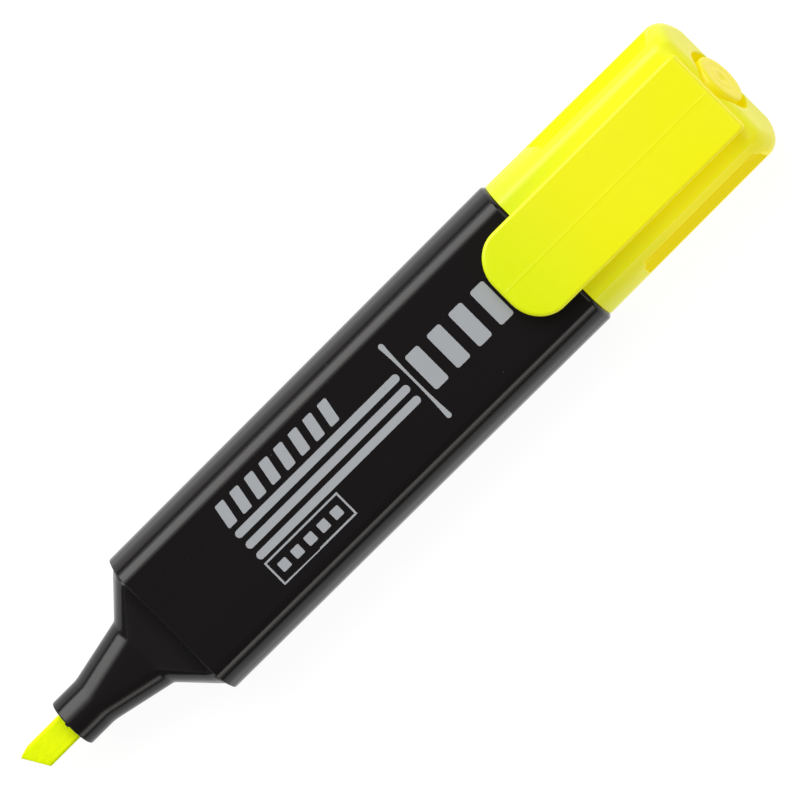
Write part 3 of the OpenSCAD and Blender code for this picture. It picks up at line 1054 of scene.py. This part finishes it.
def print_marks():
    """Generic print: slanted bars, three stripes, a framed row of squares, a divider and upright bars."""
    left, lift = 16.34, 0.012
    shapes = bar_row(8, left, 2.95, 1.7, 3.84, 7.54, slant=0.7)
    stripe_y, stripe_step, stripe_t = -2.56, 2.15, 1.25
    for k in range(3):
        y = stripe_y + k * stripe_step
        shapes.append(bar(16.3, 49.0, y, y + stripe_t, r=0.6))
    frame_y0, frame_y1, square, square_step = -7.42, -3.14, 1.6, 2.64
    middle = (frame_y0 + frame_y1) / 2
    shapes += printed_frame(left, 31.0, frame_y0, frame_y1, 0.3)
    shapes += bar_row(5, left + 1.26, square_step, square, middle - square / 2, middle + square / 2, r=0.2)
    shapes.append(tapered_line(50.15, -6.65, 6.98, 0.85, 0.36))
    shapes += bar_row(4, 51.4, 4.35, 2.6, -2.94, 3.58, r=0.4)
    verts, faces = [], []
    for shape in shapes:
        start = len(verts)
        verts += [Vector((p[0], p[1], BARREL_T / 2 + lift)) for p in shape]
        faces.append(tuple(range(start, len(verts))))
    return make("pad_print", verts, faces)


# ---------------------------------------------------------------- stage

def softbox(name, tilt, half_angle, length, radiance, colour, turn=0.0):
    """Soft light aimed at the pen. It leans by tilt from the vertical, towards +y or turned from there
    by turn, and spans twice half_angle as seen from the pen."""
    distance = 0.8
    width = 2 * distance * tan(half_angle)
    data = bpy.data.lights.new(name, "AREA")
    data.shape = "RECTANGLE"
    data.size, data.size_y = length, width
    data.energy = radiance * pi * length * width
    data.color = colour
    obj = bpy.data.objects.new(name, data)
    bpy.context.scene.collection.objects.link(obj)
    away = distance * sin(tilt)
    obj.location = (-away * sin(turn), away * cos(turn), distance * cos(tilt))
    obj.rotation_mode = "QUATERNION"
    obj.rotation_quaternion = (-obj.location).to_track_quat("-Z", "Y")
    return obj


def floor():
    """Plain pale sheet just under the pen, bright enough that its shadow stays faint."""
    half, drop = 3.0, 0.00003
    corners = [(x * half, y * half, -drop) for x, y in ((-1, -1), (1, -1), (1, 1), (-1, 1))]
    mesh = bpy.data.meshes.new("floor")
    mesh.from_pydata(corners, [], [(0, 1, 2, 3)])
    obj = bpy.data.objects.new("floor", mesh)
    bpy.context.scene.collection.objects.link(obj)
    pale = principled("pale_floor", Base_Color=(0.1, 0.1, 0.1, 1), Roughness=0.9, Specular_IOR_Level=0.0,
                      Emission_Color=(1, 1, 1, 1), Emission_Strength=0.94)[0]
    mesh.materials.append(pale)


def studio():
    """Key with a feathered edge on the +y side, warm strip on the -y side, weak lights at both ends."""
    world = bpy.data.worlds.new("studio")
    world.use_nodes = True
    background = world.node_tree.nodes["Background"]
    background.inputs["Color"].default_value = (0.9, 0.93, 1.0, 1)
    background.inputs["Strength"].default_value = 0.08
    bpy.context.scene.world = world
    white, soft_white, warm = (1.0, 0.99, 0.98), (1.0, 0.99, 0.96), (1.0, 0.95, 0.9)
    softbox("key", radians(53), radians(21), 1.0, 5.0, white)
    softbox("key_feather", radians(28), radians(4), 1.0, 3.2, white)
    softbox("key_edge", radians(18), radians(6), 1.0, 1.0, white)
    softbox("cap_end", radians(50), radians(22), 0.6, 1.1, soft_white, radians(-90))
    softbox("nib_end", radians(50), radians(22), 0.6, 0.25, soft_white, radians(90))
    softbox("strip", radians(-67), radians(8), 1.0, 2.8, warm)


def photo_camera():
    """Camera square onto the clip side, tipped towards the cap, the pen's axis at about 45 degrees."""
    tilt, roll, distance, lens = radians(6.131), radians(44.834), 0.9, 283.2489
    aim = place((46.03, -0.264, 0))
    back = Vector((sin(tilt), 0, cos(tilt)))
    level = Vector((cos(tilt), 0, -sin(tilt)))
    upright = Vector((0, 1, 0))
    right = cos(roll) * level - sin(roll) * upright
    up = sin(roll) * level + cos(roll) * upright
    data = bpy.data.cameras.new("camera")
    data.sensor_width = 36
    data.lens = lens
    data.clip_start, data.clip_end = 0.01, 20
    obj = bpy.data.objects.new("camera", data)
    bpy.context.scene.collection.objects.link(obj)
    turn = Matrix((right, up, back)).transposed().to_4x4()
    obj.matrix_world = Matrix.Translation(aim + back * distance) @ turn
    bpy.context.scene.camera = obj


# ---------------------------------------------------------------- assembly

def finish_piece(obj, material, body=None, replaces=()):
    """Gives a piece its material, and lets it ride on its body."""
    obj.data.materials.clear()
    obj.data.materials.append(material)
    if body:
        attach(obj, body)
    if replaces:
        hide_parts(*replaces)
    return obj


def paint_recess_shade(mesh, material):
    """Second material, the painted-shade copy, for the mesh's faces that are marked deep."""
    mesh.materials.append(material)
    marks = [mark.value for mark in mesh.attributes["deep"].data]
    for face, is_deep in zip(mesh.polygons, marks):
        face.material_index = int(is_deep)
    mesh.attributes.remove(mesh.attributes["deep"])


def repaint(node_name, material):
    """New material on a CAD node that stays visible."""
    slots = frame["nodes"][node_name].data.materials
    slots.clear()
    slots.append(material)


def yellow_plastics():
    """The four yellows of one plastic: cap, a painted-shade copy for its recesses and vent wall, sleeve, clip. The
    glow, mostly painted light that fills the shade, carries most of each; the cap's and clip's bases and glows
    differ to paint how the light falls on each.
    """
    glow, recess_shade_glow, body_glow = (0.46, 0.3, 0.0), (0.56, 0.36, 0.0), (0.6, 0.42, 0.0)
    # Painted shade along the pen: the cap's glow is dimmer at its mouth, by the black barrel, and at its end; the
    # clip's glow is dimmer at its tip over the barrel.
    cap_glow = [(CAP_MOUTH + 0.25, (0.38, 0.3, 0.0)), (CAP_MOUTH + 17.25, body_glow),
                (CAP_END - 4.55, body_glow), (CAP_END - 1.55, (0.42, 0.27, 0.0))]
    clip_glow = [(clip_low.x - 6.35, (0.22, 0.27, 0.0)), (clip_low.x + 18.65, glow)]
    # The cap's base carries a little blue as a painted reflection.
    return (fluorescent_plastic("cap_yellow", (0.32, 0.48, 0.008), cap_glow),
            # The second material is a darker, more orange, barely glossy copy of the cap's plastic: painted shade
            # for the recess floors and walls and the vent wall.
            fluorescent_plastic("cap_recess_shade", (0.3, 0.4, 0.0), recess_shade_glow, gloss=0.03),
            fluorescent_plastic("sleeve_yellow", (0.42, 0.48, 0.004), glow),
            fluorescent_plastic("clip_yellow", (0.4, 0.52, 0.002), clip_glow))


def build():
    """Every piece with its material, its body and the CAD nodes that it replaces."""
    near_black = (0.0075, 0.0065, 0.0065)
    gloss_black = black_plastic("gloss_black", 0.17, near_black)
    satin_black = black_plastic("satin_black", 0.22, near_black)
    cap_yellow, cap_recess_shade, sleeve_yellow, clip_yellow = yellow_plastics()

    finish_piece(barrel(), gloss_black, "barrel", ["barrel_shell"])
    finish_piece(nose(), satin_black, "barrel", ["nose_section"])
    finish_piece(nib(), nib_fibre(), "barrel", ["nib"])
    finish_piece(rear_plug(), satin_black, "barrel", ["rear_plug"])
    finish_piece(print_marks(), print_ink(), "barrel")
    cap_body = finish_piece(cap_shell(), cap_yellow, "cap", ["cap_shell"])
    paint_recess_shade(cap_body.data, cap_recess_shade)
    finish_piece(inner_cap(), sleeve_yellow, "cap", ["inner_cap"])
    for fin in fins():
        finish_piece(fin, sleeve_yellow, "cap")
    wide_clip = finish_piece(clip(), clip_yellow, replaces=["cap_clip"])
    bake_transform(wide_clip)
    repaint("ink_reservoir", ink_bundle())
    repaint("reservoir_film", clear_film())


bpy.context.scene.view_settings.view_transform = "Standard"
photo_camera()
studio()
floor()
build()
